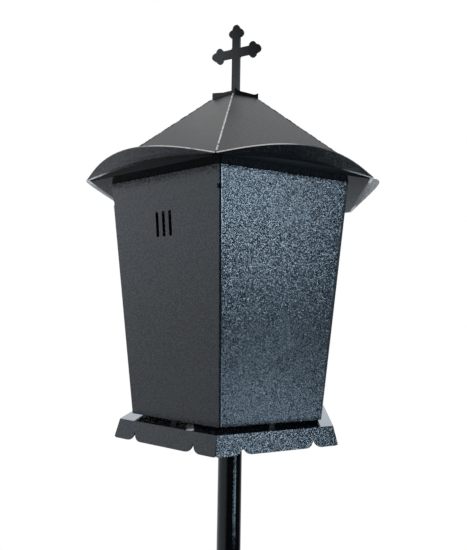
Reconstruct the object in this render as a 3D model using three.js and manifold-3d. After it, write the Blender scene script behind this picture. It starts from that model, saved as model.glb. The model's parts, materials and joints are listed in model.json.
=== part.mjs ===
// Hexagonal grave lantern of folded sheet steel on a round pole, with a budded cross on its roof.
// Millimetres, +Z up. The ground is z = 0, the pole stands on the origin and the door faces -Y.
// Radii of the six-sided parts are taken to their corners, which lie at 0, 60, 120 ... degrees.
import * as THREE from 'three';
import { mergeVertices } from 'three/addons/utils/BufferGeometryUtils.js';
import Module from 'manifold-3d';

const wasm = await Module();
wasm.setup();

// Clearances
const SEAT_GAP = 0.3; // between pieces that rest on each other or are cut to each other
const SLOT_GAP = 0.5; // round a foot in its slot
const RUN_GAP = 0.5; // beside pieces that turn

// Base plate and pole
const BASE_SIDE = 160;
const BASE_T = 6;
const BASE_CORNER_R = 10;
const BASE_HOLE_R = 5.5;
const BASE_HOLE_INSET = 22;
const POLE_R = 12.5;
const POLE_WALL = 2;
const POLE_LENGTH = 330;

// Socket that carries the tray on the pole
const SLEEVE_WALL = 4;
const SLEEVE_LENGTH = 36;
const FLANGE_MARGIN = 8; // flange beyond the bolt circle
const FLANGE_T = 3;
const TRAY_BOLTS = 3;
const TRAY_BOLT = { r: 2.5, headR: 4.5, headH: 2.6, nutR: 4.6, nutT: 4, end: 1.5 };
const BOLTS_FROM_CUP = 7; // bolt circle beyond the cup's wall
const CLAMP_SCREW = { r: 3, length: 12, headR: 5.8, headH: 4 };
const CLAMP_SCREW_HEIGHTS = [11.8, 25.8]; // below the flange's top face

// Tray with its scalloped apron
const SHEET_T = 1.5;
const TRAY_R = 118.3;
const APRON_FOOT_R = 123.4;
const APRON_DROP = 17.1;
const APRON_SLIT = 0.8; // between neighbouring aprons
const APRON_CORNER_R = 3;
const CUSP_INSET = 25.7; // from the apron's end to the cusp between two lobes
const CUSP_W = 0.9; // at its upper end
const LOBE_ROUND_W = 8.2;
const LOBE_ROUND_H = 7.6;

// Candle cup
const CUP_R = 39;
const CUP_H = 20;
const CUP_T = 1.2;

// Body
const BODY_FOOT_R = 106;
const BODY_TOP_R = 134;
const BODY_RISE = 226; // from the panels' foot to their top edge
const BODY_CLEARANCE = 4.2; // air slit between the tray and the panels
const FOOT_W = 5;
const FOOT_TONGUE = 1; // below the tray
const CORNER_NOTCH = { depth: 2, height: 4.2, above: 206.3 };

// Vent in the rear panel: upright slots with round ends
const VENT = { slots: 3, width: 3.6, height: 24, pitch: 8, centre: 182 };

// Windows in the two front side panels, with air slots below them
const GLASS_T = 3;
const WINDOW = { margin: 17, foot: 52, top: 187, cornerR: 5 };
const AIR_SLOT = { width: 12, height: 2.6, pitch: 20, above: 33 };
const PANE_LAP = 4;
const RAIL_T = 1.2;
const RAIL_FOOT = 7;
const RAIL_LIP = 5;
const RAIL_SHORT = 7; // each rail stops this far inside the pane's corner

// Door
const DOOR_T = 1.5;
const DOOR_GAP = 0.5; // between the front panel and the door leaf
const DOOR = { margin: 8, foot: 14, top: 213, cornerR: 3 };
const DOOR_LAP = 6;
const DOOR_STILE = 22;
const DOOR_RAIL_LOWER = 38;
const DOOR_RAIL_UPPER = 26;

// Door hinges
const KNUCKLE_R = 3.2;
const HINGE_BORE_R = 1.8;
const HINGE_PIN_R = 1.5;
const PIN_HEAD_R = 2.7;
const PIN_HEAD_H = 1.4;
const PIN_TAIL = 1.5;
const DOOR_KNUCKLE_L = 14;
const LUG_L = 6;
const LUG_HALF_W = 2.2;
const HINGE_STRAP_T = 1.2;
const HINGE_STRAP_L = 16;
const HINGE_PLATE_W = 6.5;
const HINGE_OFFSET = 70; // each hinge above or below the door's middle
const KNUCKLE_LIFT = 5.2; // axis above the panel's face
const LEAF_TO_AXIS = 3.7;

// Door latch
const LATCH_INSET = 12; // spindle from the leaf's edge
const SPINDLE_R = 3;
const SPINDLE_REACH = 8.6; // behind the panel's face
const LATCH_FLANGE = { r: 8, t: 2 };
const LATCH_WING = { length: 30, width: 6, height: 9 };
const CAM = { halfWidth: 5, reach: 14, t: 2, behind: 2.6 };
const LATCH_NUT = { r: 5, t: 3 };

// Soffit plate that closes the roof's underside
const SOFFIT_T = 1.5;
const CHIMNEY_R = 35;
const SOFFIT_VENTS = 6;
const SOFFIT_VENT_R = 6;
const SOFFIT_VENT_CIRCLE_R = 76;
const BRACKET = { width: 18, drop: 14, reach: 19, boltIn: 11, t: 1.5 };
const BRACKET_SCREW = { r: 2, headR: 3.6, headH: 2.4, end: 4 };

// Roof petals: a flat slope folded up into a brim whose edge is an arc
const EAVE_R = 157.4;
const ROOF_RISE = 129.4; // from the fold to where the slopes would meet
const PETAL_T = 1.2;
const BRIM = { out: 21.4, lift: 11.9, bow: 1.1 }; // at mid-side; a bow of 1 makes its edge a parabola
const NARROW_BRIM = { out: 19.2, lift: 13.4, bow: 1.65 }; // the left front petal, folded a little differently
const BRIM_END = 1.7; // what is left of the brim at the corners
const FOLD_R = 19; // of the fold's underside at mid-side, where it is softest
const FOLD_END_R = 1.6; // at the corners, where it is sharpest
const SMOKE_HOLE_R = 25.5;
const PETAL_COLUMNS = 20;
const FOLD_ROWS = 5;
const SEAM_GAP = 0.3;

// Collar and cross
const COLLAR_R = 29;
const COLLAR_H = 6.2;
const COLLAR_WALL = 1.5;
const COLLAR_DIP = 2.4; // rim between the corners, below them
const COLLAR_PEAK = 0.16; // share of a side over which the rim falls from its corner
const COLLAR_TOP_T = 1.1;
const COLLAR_TURN = 4; // degrees, as it was welded on
const CROSS = { width: 9, t: 4, arm: 30.2, head: 32.6, centreAbove: 55.6, fillet: 1.8 };
const BUD = { r: 4.3, side: 4.6, back: 5.4 };
const CROSS_TURN = 9.7; // degrees out of line with the rear panel
const TANG_R = 3;
const CLAMP_WASHER_R = 27;
const CLAMP_WASHER_T = 2;
const TANG_NUT = { r: 5.8, t: 4 };
const TANG_END = 2; // thread past the nut

// Six-sided plan
const SIDES = 6;
const SIXTH = Math.PI / SIDES;
const APOTHEM = Math.cos(SIXTH); // share of the corner radius
const HALF_SIDE = Math.sin(SIXTH); // half a side's share of the corner radius
const FACE_TURNS = {
  front: -90,
  right_front: -30,
  right_rear: 30,
  rear: 90,
  left_rear: 150,
  left_front: 210,
};

// Heights
const POLE_TOP_Z = BASE_T + POLE_LENGTH;
const FLANGE_TOP_Z = POLE_TOP_Z + SEAT_GAP;
const TRAY_UNDER_Z = FLANGE_TOP_Z;
const TRAY_Z = TRAY_UNDER_Z + SHEET_T;
const BODY_FOOT_Z = TRAY_Z + BODY_CLEARANCE;
const BODY_TOP_Z = BODY_FOOT_Z + BODY_RISE;
const EAVE_Z = BODY_TOP_Z + SEAT_GAP; // underside of the fold and of the soffit plate

// Body slopes
const FOOT_APOTHEM = BODY_FOOT_R * APOTHEM;
const TOP_APOTHEM = BODY_TOP_R * APOTHEM;
const LEAN = Math.atan2(TOP_APOTHEM - FOOT_APOTHEM, BODY_RISE);
const PANEL_H = Math.hypot(TOP_APOTHEM - FOOT_APOTHEM, BODY_RISE);
const CORNER_LEAN = Math.atan2((BODY_TOP_R - BODY_FOOT_R) * HALF_SIDE, PANEL_H);

// Roof slopes
const EAVE_APOTHEM = EAVE_R * APOTHEM;
const ROOF_PITCH = Math.atan2(ROOF_RISE, EAVE_APOTHEM);
const PETAL_UPRIGHT_T = PETAL_T / Math.cos(ROOF_PITCH);
const ROOF_TIP_Z = EAVE_Z + ROOF_RISE + PETAL_UPRIGHT_T; // where the outer faces would meet
const COLLAR_REST_TIP_Z = ROOF_TIP_Z + SEAT_GAP / Math.cos(ROOF_PITCH); // tip of the slopes it rests on
const COLLAR_FOOT_Z = COLLAR_REST_TIP_Z - (COLLAR_R * ROOF_RISE) / EAVE_R;
const COLLAR_TOP_Z = COLLAR_FOOT_Z + COLLAR_H;
const COLLAR_DECK_Z = COLLAR_TOP_Z - COLLAR_DIP;

const painted = (color, roughness) => new THREE.MeshStandardMaterial({ color, roughness, metalness: 0.4 });
const MATERIALS = {
  hammered: painted(0x2c3035, 0.38),
  roof: painted(0x3a3d40, 0.42),
  pole: painted(0x101216, 0.25),
  cross: painted(0x222426, 0.45),
  zinc: new THREE.MeshStandardMaterial({ color: 0x9aa0a5, roughness: 0.4, metalness: 0.9 }),
  glass: new THREE.MeshStandardMaterial({ color: 0xd8e4e6, roughness: 0.05, transparent: true, opacity: 0.35 }),
};

const lantern = new THREE.Group();

// Solids and booleans

function solidOf(geometry) {
  const bare = geometry.clone();
  bare.deleteAttribute('normal');
  bare.deleteAttribute('uv');
  const merged = mergeVertices(bare, 1e-5);
  const corners = merged.index.array;
  const kept = [];
  for (let i = 0; i < corners.length; i += 3) {
    const [a, b, c] = [corners[i], corners[i + 1], corners[i + 2]];
    if (a !== b && b !== c && c !== a) kept.push(a, b, c);
  }
  const mesh = new wasm.Mesh({
    numProp: 3,
    vertProperties: new Float32Array(merged.attributes.position.array),
    triVerts: new Uint32Array(kept),
  });
  return new wasm.Manifold(mesh);
}

function geometryOf(solid) {
  const mesh = solid.getMesh();
  const geometry = new THREE.BufferGeometry();
  geometry.setAttribute('position', new THREE.Float32BufferAttribute(mesh.vertProperties, 3));
  geometry.setIndex(new THREE.Uint32BufferAttribute(mesh.triVerts, 1));
  geometry.computeVertexNormals();
  return geometry;
}

function join(...geometries) {
  return geometryOf(geometries.map(solidOf).reduce((whole, piece) => whole.add(piece)));
}

function cut(geometry, ...tools) {
  return geometryOf(tools.map(solidOf).reduce((left, tool) => left.subtract(tool), solidOf(geometry)));
}

function add(group, name, geometry, material) {
  const mesh = new THREE.Mesh(geometry, material);
  mesh.name = name;
  group.add(mesh);
  return mesh;
}

// Shapes

function prism(shape, from, to, curveSegments = 6) {
  const geometry = new THREE.ExtrudeGeometry(shape, {
    depth: to - from,
    bevelEnabled: false,
    curveSegments,
  });
  return geometry.translate(0, 0, from);
}

function rod(radius, from, to, segments = 20) {
  const geometry = new THREE.CylinderGeometry(radius, radius, to - from, segments);
  return geometry.rotateX(Math.PI / 2).translate(0, 0, (from + to) / 2);
}

function block(x0, x1, y0, y1, z0, z1) {
  const geometry = new THREE.BoxGeometry(x1 - x0, y1 - y0, z1 - z0);
  return geometry.translate((x0 + x1) / 2, (y0 + y1) / 2, (z0 + z1) / 2);
}

function outline(points) {
  return new THREE.Shape(points.map(([x, y]) => new THREE.Vector2(x, y)));
}

function hexagon(cornerR) {
  const corner = (k) => [cornerR * Math.cos(2 * SIXTH * k), cornerR * Math.sin(2 * SIXTH * k)];
  return outline(Array.from({ length: SIDES }, (_, k) => corner(k)));
}

// Closed polygon with every corner rounded by the same radius
function rounded(points, radius) {
  const shape = new THREE.Shape();
  points.forEach((point, i) => {
    const here = new THREE.Vector2(...point);
    const before = new THREE.Vector2(...points[(i + points.length - 1) % points.length]);
    const after = new THREE.Vector2(...points[(i + 1) % points.length]);
    const into = before.sub(here).normalize().multiplyScalar(radius).add(here);
    const out = after.sub(here).normalize().multiplyScalar(radius).add(here);
    if (i === 0) shape.moveTo(into.x, into.y);
    else shape.lineTo(into.x, into.y);
    shape.quadraticCurveTo(here.x, here.y, out.x, out.y);
  });
  shape.closePath();
  return shape;
}

function trapezoid(footY, topY, footHalf, topHalf) {
  return [
    [-footHalf, footY],
    [footHalf, footY],
    [topHalf, topY],
    [-topHalf, topY],
  ];
}

// Solid between two outlines of as many points, one above the other
function loft(lower, upper) {
  const count = lower.length;
  const positions = [...lower, ...upper].flatMap((p) => [p.x, p.y, p.z]);
  const faces = THREE.ShapeUtils.triangulateShape(lower.map((p) => new THREE.Vector2(p.x, p.y)), []);
  const index = [];
  for (const [a, b, c] of faces) {
    index.push(a, c, b);
    index.push(count + a, count + b, count + c);
  }
  for (let i = 0; i < count; i += 1) {
    const next = (i + 1) % count;
    index.push(i, next, count + next);
    index.push(i, count + next, count + i);
  }
  const geometry = new THREE.BufferGeometry();
  geometry.setAttribute('position', new THREE.Float32BufferAttribute(positions, 3));
  geometry.setIndex(index);
  return geometry;
}

// Frames on the six faces

function outwardOf(turn) {
  const angle = THREE.MathUtils.degToRad(turn);
  return new THREE.Vector3(Math.cos(angle), Math.sin(angle), 0);
}

// On a body face: x runs along the side, y up the slope from the foot, z outward
function panelFrame(turn) {
  const outward = outwardOf(turn);
  const level = new THREE.Vector3(0, 0, 1);
  const up = outward.clone().multiplyScalar(Math.sin(LEAN)).addScaledVector(level, Math.cos(LEAN));
  const normal = outward.clone().multiplyScalar(Math.cos(LEAN)).addScaledVector(level, -Math.sin(LEAN));
  const along = up.clone().cross(normal);
  const group = new THREE.Group();
  group.quaternion.setFromRotationMatrix(new THREE.Matrix4().makeBasis(along, up, normal));
  group.position.copy(outward.multiplyScalar(FOOT_APOTHEM)).setZ(BODY_FOOT_Z);
  lantern.add(group);
  return group;
}

// From the axis: x runs along the side, y straight up, z level and outward
function uprightFrame(turn, height) {
  const outward = outwardOf(turn);
  const level = new THREE.Vector3(0, 0, 1);
  const along = level.clone().cross(outward);
  const group = new THREE.Group();
  group.quaternion.setFromRotationMatrix(new THREE.Matrix4().makeBasis(along, level, outward));
  group.position.set(0, 0, height);
  lantern.add(group);
  return group;
}

// Half a panel's width at y up its slope
function halfWidth(y) {
  return BODY_FOOT_R * HALF_SIDE + y * Math.tan(CORNER_LEAN);
}

// Base plate, pole and socket

function makeStand() {
  const half = BASE_SIDE / 2;
  const square = rounded(trapezoid(-half, half, half, half), BASE_CORNER_R);
  const hole = half - BASE_HOLE_INSET;
  const holes = [[hole, hole], [-hole, hole], [-hole, -hole], [hole, -hole]];
  const drills = holes.map(([x, y]) => rod(BASE_HOLE_R, -1, BASE_T + 1).translate(x, y, 0));
  add(lantern, 'base_plate', cut(prism(square, 0, BASE_T), ...drills), MATERIALS.pole);
  const poleTube = rod(POLE_R, BASE_T, POLE_TOP_Z, 48);
  const poleBore = rod(POLE_R - POLE_WALL, BASE_T - 1, POLE_TOP_Z + 1, 36);
  add(lantern, 'pole', cut(poleTube, poleBore), MATERIALS.pole);
}

const TRAY_BOLT_CIRCLE_R = CUP_R + BOLTS_FROM_CUP;

function trayBoltPlaces() {
  return Array.from({ length: TRAY_BOLTS }, (_, i) => {
    const angle = (2 * Math.PI * i) / TRAY_BOLTS - Math.PI / 2;
    return [TRAY_BOLT_CIRCLE_R * Math.cos(angle), TRAY_BOLT_CIRCLE_R * Math.sin(angle)];
  });
}

// Tools that drill the tray's bolt pattern through whatever lies between two heights
function trayBoltDrills(from, to) {
  return trayBoltPlaces().map(([x, y]) => rod(TRAY_BOLT.r + SEAT_GAP, from, to, 16).translate(x, y, 0));
}

// A screw that points at the pole from the rear, its head outside the sleeve
function clampScrew() {
  const shank = rod(CLAMP_SCREW.r, 0, CLAMP_SCREW.length - 1, 16);
  const headFrom = CLAMP_SCREW.length - CLAMP_SCREW.headH;
  return join(shank, prism(hexagon(CLAMP_SCREW.headR), headFrom, CLAMP_SCREW.length));
}

function makeSocket() {
  const sleeveR = POLE_R + SEAT_GAP + SLEEVE_WALL;
  const sleeveFoot = FLANGE_TOP_Z - SLEEVE_LENGTH;
  const flange = rod(TRAY_BOLT_CIRCLE_R + FLANGE_MARGIN, FLANGE_TOP_Z - FLANGE_T, FLANGE_TOP_Z, 40);
  const body = join(rod(sleeveR, sleeveFoot, FLANGE_TOP_Z - 1, 40), flange);
  const bore = rod(POLE_R + SEAT_GAP, sleeveFoot - 1, FLANGE_TOP_Z + 1, 48);
  const screwHoles = CLAMP_SCREW_HEIGHTS.map((down) => {
    const hole = rod(CLAMP_SCREW.r + SEAT_GAP, 0, sleeveR + 2, 16).rotateX(-Math.PI / 2);
    return hole.translate(0, 0, FLANGE_TOP_Z - down);
  });
  const drills = trayBoltDrills(FLANGE_TOP_Z - FLANGE_T - 1, FLANGE_TOP_Z + 1);
  add(lantern, 'pole_socket', cut(body, bore, ...screwHoles, ...drills), MATERIALS.pole);
  CLAMP_SCREW_HEIGHTS.forEach((down, i) => {
    const screw = clampScrew().rotateX(-Math.PI / 2);
    screw.translate(0, POLE_R + SEAT_GAP, FLANGE_TOP_Z - down);
    add(lantern, `clamp_screw_${i + 1}`, screw, MATERIALS.zinc);
  });
}

// Tray and apron

function apronOutline(topHalf, footHalf, slant) {
  const cusp = footHalf - CUSP_INSET;
  const edgeX = (y) => topHalf + ((footHalf - topHalf) * y) / slant;
  const shape = new THREE.Shape();
  shape.moveTo(-topHalf, 0);
  shape.lineTo(-edgeX(slant - APRON_CORNER_R), slant - APRON_CORNER_R);
  shape.quadraticCurveTo(-footHalf, slant, -footHalf + APRON_CORNER_R, slant);
  const reach = LOBE_ROUND_W + CUSP_W / 2;
  for (const x of [-cusp, cusp]) {
    shape.lineTo(x - reach, slant);
    shape.absellipse(x - reach, slant - LOBE_ROUND_H, LOBE_ROUND_W, LOBE_ROUND_H, Math.PI / 2, 0, true);
    shape.absellipse(x + reach, slant - LOBE_ROUND_H, LOBE_ROUND_W, LOBE_ROUND_H, Math.PI, Math.PI / 2, true);
  }
  shape.lineTo(footHalf - APRON_CORNER_R, slant);
  shape.quadraticCurveTo(footHalf, slant, edgeX(slant - APRON_CORNER_R), slant - APRON_CORNER_R);
  shape.lineTo(topHalf, 0);
  shape.closePath();
  return shape;
}

// One side's apron, hanging from the tray's edge: y runs down the slant, z outward
function apron(turn) {
  const flare = (APRON_FOOT_R - TRAY_R) * APOTHEM;
  const slant = Math.hypot(flare, APRON_DROP);
  const trim = APRON_SLIT / 2;
  const shape = apronOutline(TRAY_R * HALF_SIDE - trim, APRON_FOOT_R * HALF_SIDE - trim, slant);
  const outward = outwardOf(turn);
  const down = outward.clone().multiplyScalar(flare / slant).setZ(-APRON_DROP / slant);
  const normal = outward.clone().multiplyScalar(APRON_DROP / slant).setZ(flare / slant);
  const along = down.clone().cross(normal);
  const place = new THREE.Matrix4().makeBasis(along, down, normal);
  place.setPosition(outward.multiplyScalar(TRAY_R * APOTHEM).setZ(TRAY_Z));
  return prism(shape, -SHEET_T, 0, 5).applyMatrix4(place);
}

// Slot for the foot that each body panel stands on
function footSlot(turn) {
  const low = FOOT_APOTHEM - (BODY_CLEARANCE + SHEET_T) * Math.tan(LEAN) - SHEET_T / Math.cos(LEAN) - SLOT_GAP;
  const high = FOOT_APOTHEM - BODY_CLEARANCE * Math.tan(LEAN) + SLOT_GAP;
  const half = FOOT_W / 2 + SLOT_GAP;
  const slot = block(low, high, -half, half, TRAY_UNDER_Z - 1, TRAY_Z + 1);
  return slot.rotateZ(THREE.MathUtils.degToRad(turn));
}

function makeTray() {
  const turns = Object.values(FACE_TURNS);
  const plate = prism(hexagon(TRAY_R - SEAT_GAP), TRAY_UNDER_Z, TRAY_Z);
  const folded = join(plate, ...turns.map(apron));
  const drills = trayBoltDrills(TRAY_UNDER_Z - 1, TRAY_Z + 1);
  add(lantern, 'base_tray', cut(folded, ...turns.map(footSlot), ...drills), MATERIALS.hammered);
}

function makeCupAndBolts() {
  const floorZ = TRAY_Z + SEAT_GAP;
  const shell = rod(CUP_R, floorZ, floorZ + CUP_H, 40);
  const inside = rod(CUP_R - CUP_T, floorZ + CUP_T, floorZ + CUP_H + 1, 40);
  add(lantern, 'candle_cup', cut(shell, inside), MATERIALS.hammered);
  const headZ = TRAY_Z + SEAT_GAP;
  const nutTop = FLANGE_TOP_Z - FLANGE_T - SEAT_GAP;
  const nutFoot = nutTop - TRAY_BOLT.nutT;
  trayBoltPlaces().forEach(([x, y], i) => {
    const shank = rod(TRAY_BOLT.r, nutFoot - TRAY_BOLT.end, headZ + TRAY_BOLT.headH / 2, 16);
    const head = rod(TRAY_BOLT.headR, headZ, headZ + TRAY_BOLT.headH, 20);
    add(lantern, `tray_bolt_${i + 1}`, join(shank, head).translate(x, y, 0), MATERIALS.zinc);
    const bore = rod(TRAY_BOLT.r + SEAT_GAP, nutFoot - 1, nutTop + 1, 16);
    const nut = cut(prism(hexagon(TRAY_BOLT.nutR), nutFoot, nutTop), bore);
    add(lantern, `tray_nut_${i + 1}`, nut.translate(x, y, 0), MATERIALS.zinc);
  });
}

// Body panels

// How far a panel's outer and inner face stop short of the corner line
const PANEL_EDGE = {
  mitre: [SEAT_GAP / 2 / Math.cos(SIXTH), SEAT_GAP / 2 / Math.cos(SIXTH) + SHEET_T * Math.tan(SIXTH)],
  square: [0, 0],
  butt: [(SHEET_T + SEAT_GAP) / Math.cos(SIXTH), (SHEET_T / 2 + SEAT_GAP) / Math.cos(SIXTH)],
};

function panelBlank(leftEdge, rightEdge) {
  const corners = (face) => {
    const left = PANEL_EDGE[leftEdge][face];
    const right = PANEL_EDGE[rightEdge][face];
    const z = face === 0 ? 0 : -SHEET_T;
    return [
      new THREE.Vector3(-halfWidth(0) + left, 0, z),
      new THREE.Vector3(halfWidth(0) - right, 0, z),
      new THREE.Vector3(halfWidth(PANEL_H) - right, PANEL_H, z),
      new THREE.Vector3(-halfWidth(PANEL_H) + left, PANEL_H, z),
    ];
  };
  const foot = (BODY_CLEARANCE + SHEET_T + FOOT_TONGUE) / Math.cos(LEAN);
  const tab = block(-FOOT_W / 2, FOOT_W / 2, -foot, 1, -SHEET_T, 0);
  return join(loft(corners(1), corners(0)), tab);
}

function cornerNotches() {
  const half = halfWidth(CORNER_NOTCH.above);
  const low = CORNER_NOTCH.above;
  const high = low + CORNER_NOTCH.height;
  const right = block(half - CORNER_NOTCH.depth, half + 5, low, high, -SHEET_T - 1, 1);
  return [right, right.clone().translate(-2 * half + CORNER_NOTCH.depth - 5, 0, 0)];
}

function ventSlots() {
  const first = (-(VENT.slots - 1) * VENT.pitch) / 2;
  const straight = (VENT.height - VENT.width) / 2;
  return Array.from({ length: VENT.slots }, (_, i) => {
    const slot = new THREE.Shape();
    const x = first + i * VENT.pitch;
    slot.absarc(x, VENT.centre + straight, VENT.width / 2, 0, Math.PI, false);
    slot.absarc(x, VENT.centre - straight, VENT.width / 2, Math.PI, 2 * Math.PI, false);
    slot.closePath();
    return prism(slot, -SHEET_T - 1, 1, 8);
  });
}

// A pane with its two rails, behind a sheet whose inner face lies at z
function glaze(group, name, z, footY, topY, footHalf, topHalf) {
  const paneBack = z - SEAT_GAP - GLASS_T;
  const pane = prism(outline(trapezoid(footY, topY, footHalf, topHalf)), paneBack, z - SEAT_GAP);
  add(group, `${name}_glass`, pane, MATERIALS.glass);
  const lipFront = paneBack - SEAT_GAP;
  for (const [rail, edge, side, half] of [['lower', footY, 1, footHalf], ['upper', topY, -1, topHalf]]) {
    const web = edge - side * SEAT_GAP;
    const profile = outline([
      [web - side * RAIL_FOOT, z - SEAT_GAP],
      [web, z - SEAT_GAP],
      [web, lipFront],
      [web + side * RAIL_LIP, lipFront],
      [web + side * RAIL_LIP, lipFront - RAIL_T],
      [web - side * RAIL_T, lipFront - RAIL_T],
      [web - side * RAIL_T, z - SEAT_GAP - RAIL_T],
      [web - side * RAIL_FOOT, z - SEAT_GAP - RAIL_T],
    ]);
    const length = 2 * (half - RAIL_SHORT);
    // The profile's x is the panel's y and its y the panel's z, so the length runs along the panel's x
    const place = new THREE.Matrix4().makeBasis(
      new THREE.Vector3(0, 1, 0),
      new THREE.Vector3(0, 0, 1),
      new THREE.Vector3(1, 0, 0),
    );
    const bar = prism(profile, -length / 2, length / 2).applyMatrix4(place);
    add(group, `${name}_glass_rail_${rail}`, bar, MATERIALS.hammered);
  }
}

function airSlots() {
  const straight = (AIR_SLOT.width - AIR_SLOT.height) / 2;
  return [-AIR_SLOT.pitch / 2, AIR_SLOT.pitch / 2].map((x) => {
    const slot = new THREE.Shape();
    slot.absarc(x + straight, AIR_SLOT.above, AIR_SLOT.height / 2, -Math.PI / 2, Math.PI / 2, false);
    slot.absarc(x - straight, AIR_SLOT.above, AIR_SLOT.height / 2, Math.PI / 2, 1.5 * Math.PI, false);
    slot.closePath();
    return prism(slot, -SHEET_T - 1, 1, 6);
  });
}

function makeWindowPanel(name) {
  const group = panelFrame(FACE_TURNS[name]);
  const inner = (y) => halfWidth(y) - WINDOW.margin;
  const hole = trapezoid(WINDOW.foot, WINDOW.top, inner(WINDOW.foot), inner(WINDOW.top));
  const opening = prism(rounded(hole, WINDOW.cornerR), -SHEET_T - 1, 1);
  const panel = cut(panelBlank('mitre', 'mitre'), opening, ...airSlots());
  add(group, `${name}_panel`, panel, MATERIALS.hammered);
  const footY = WINDOW.foot - PANE_LAP;
  const topY = WINDOW.top + PANE_LAP;
  glaze(group, name, -SHEET_T, footY, topY, inner(footY) + PANE_LAP, inner(topY) + PANE_LAP);
}

function makePlainPanel(name, leftEdge, rightEdge) {
  add(panelFrame(FACE_TURNS[name]), `${name}_panel`, panelBlank(leftEdge, rightEdge), MATERIALS.hammered);
}

function makeRearPanel() {
  const blank = panelBlank('square', 'square');
  const panel = cut(blank, ...ventSlots(), ...cornerNotches());
  add(panelFrame(FACE_TURNS.rear), 'rear_panel', panel, MATERIALS.hammered);
}

// Front panel and door

const leafHalf = (y) => halfWidth(y) - DOOR.margin;

function makeDoorLeaf(group) {
  const leaf = rounded(trapezoid(DOOR.foot, DOOR.top, leafHalf(DOOR.foot), leafHalf(DOOR.top)), DOOR.cornerR);
  const from = DOOR.foot + DOOR_RAIL_LOWER;
  const to = DOOR.top - DOOR_RAIL_UPPER;
  const sight = (y) => leafHalf(y) - DOOR_STILE;
  const hole = rounded(trapezoid(from, to, sight(from), sight(to)), WINDOW.cornerR);
  const through = [DOOR_GAP - 1, DOOR_GAP + DOOR_T + 1];
  const spindleHole = rod(SPINDLE_R + SEAT_GAP, ...through).translate(...latchPlace(), 0);
  const plate = prism(leaf, DOOR_GAP, DOOR_GAP + DOOR_T);
  add(group, 'door_leaf', cut(plate, prism(hole, ...through), spindleHole), MATERIALS.hammered);
  const footY = from - PANE_LAP;
  const topY = to + PANE_LAP;
  glaze(group, 'door', DOOR_GAP, footY, topY, sight(footY) + PANE_LAP, sight(topY) + PANE_LAP);
}

function latchPlace() {
  const y = (DOOR.foot + DOOR.top) / 2;
  return [leafHalf(y) - LATCH_INSET, y];
}

function makeLatch(group) {
  const outside = DOOR_GAP + DOOR_T + RUN_GAP;
  const spindle = rod(SPINDLE_R, -SPINDLE_REACH, outside + 1);
  const flange = rod(LATCH_FLANGE.r, outside, outside + LATCH_FLANGE.t, 28);
  const half = LATCH_WING.length / 2 - LATCH_WING.width / 2;
  const wingShape = new THREE.Shape();
  wingShape.absarc(0, half, LATCH_WING.width / 2, 0, Math.PI, false);
  wingShape.absarc(0, -half, LATCH_WING.width / 2, Math.PI, 2 * Math.PI, false);
  wingShape.closePath();
  const wing = prism(wingShape, outside + 1, outside + LATCH_WING.height, 8);
  const place = [...latchPlace(), 0];
  add(group, 'latch_knob', join(spindle, flange, wing).translate(...place), MATERIALS.pole);
  const camFront = -CAM.behind;
  const camShape = new THREE.Shape();
  camShape.absarc(0, 0, CAM.halfWidth, Math.PI, 2 * Math.PI, false);
  camShape.lineTo(CAM.halfWidth, CAM.reach);
  camShape.lineTo(-CAM.halfWidth, CAM.reach);
  camShape.closePath();
  const bore = rod(SPINDLE_R + SEAT_GAP, camFront - CAM.t - 1, camFront + 1);
  const cam = cut(prism(camShape, camFront - CAM.t, camFront, 10), bore);
  add(group, 'latch_cam', cam.translate(...place), MATERIALS.zinc);
  const nutFront = camFront - CAM.t - SEAT_GAP;
  const nutBore = rod(SPINDLE_R + SEAT_GAP, nutFront - LATCH_NUT.t - 1, nutFront + 1, 16);
  const nut = cut(prism(hexagon(LATCH_NUT.r), nutFront - LATCH_NUT.t, nutFront), nutBore);
  add(group, 'latch_nut', nut.translate(...place), MATERIALS.zinc);
}

// One hinge, about its own axis: y runs along the pin, x into the door, z outward from the axis
function makeHinge(axisGroup, name, along) {
  const group = new THREE.Group();
  group.position.y = along;
  axisGroup.add(group);
  const upright = (radius, from, to, segments) => rod(radius, from, to, segments).rotateX(-Math.PI / 2);
  const plateFoot = SEAT_GAP - KNUCKLE_LIFT;
  const inner = DOOR_KNUCKLE_L / 2 + RUN_GAP;
  const outer = inner + LUG_L;
  const plateFrom = LEAF_TO_AXIS - RUN_GAP * 2 - HINGE_PLATE_W;
  const plate = block(plateFrom, plateFrom + HINGE_PLATE_W, -outer, outer, plateFoot, plateFoot + HINGE_STRAP_T);
  const lugs = [[inner, outer], [-outer, -inner]].flatMap(([from, to]) => [
    block(-LUG_HALF_W, LUG_HALF_W, from, to, plateFoot + 0.4, 0),
    upright(KNUCKLE_R, from, to, 24),
  ]);
  const bracketBore = upright(HINGE_BORE_R, -outer - 1, outer + 1, 20);
  add(group, `hinge_bracket_${name}`, cut(join(plate, ...lugs), bracketBore), MATERIALS.hammered);

  const knuckle = upright(KNUCKLE_R, -DOOR_KNUCKLE_L / 2, DOOR_KNUCKLE_L / 2, 24);
  const strapFoot = DOOR_GAP + DOOR_T + SEAT_GAP - KNUCKLE_LIFT;
  const halfL = DOOR_KNUCKLE_L / 2;
  const strap = block(0, HINGE_STRAP_L, -halfL, halfL, strapFoot, strapFoot + HINGE_STRAP_T);
  const strapBore = upright(HINGE_BORE_R, -halfL - 1, halfL + 1, 20);
  add(group, `hinge_strap_${name}`, cut(join(knuckle, strap), strapBore), MATERIALS.hammered);

  const headFrom = outer + SEAT_GAP;
  const pinShank = upright(HINGE_PIN_R, -outer - PIN_TAIL, headFrom + PIN_HEAD_H / 2, 20);
  const pinHead = upright(PIN_HEAD_R, headFrom, headFrom + PIN_HEAD_H, 20);
  add(group, `hinge_pin_${name}`, join(pinShank, pinHead), MATERIALS.zinc);
}

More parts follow.
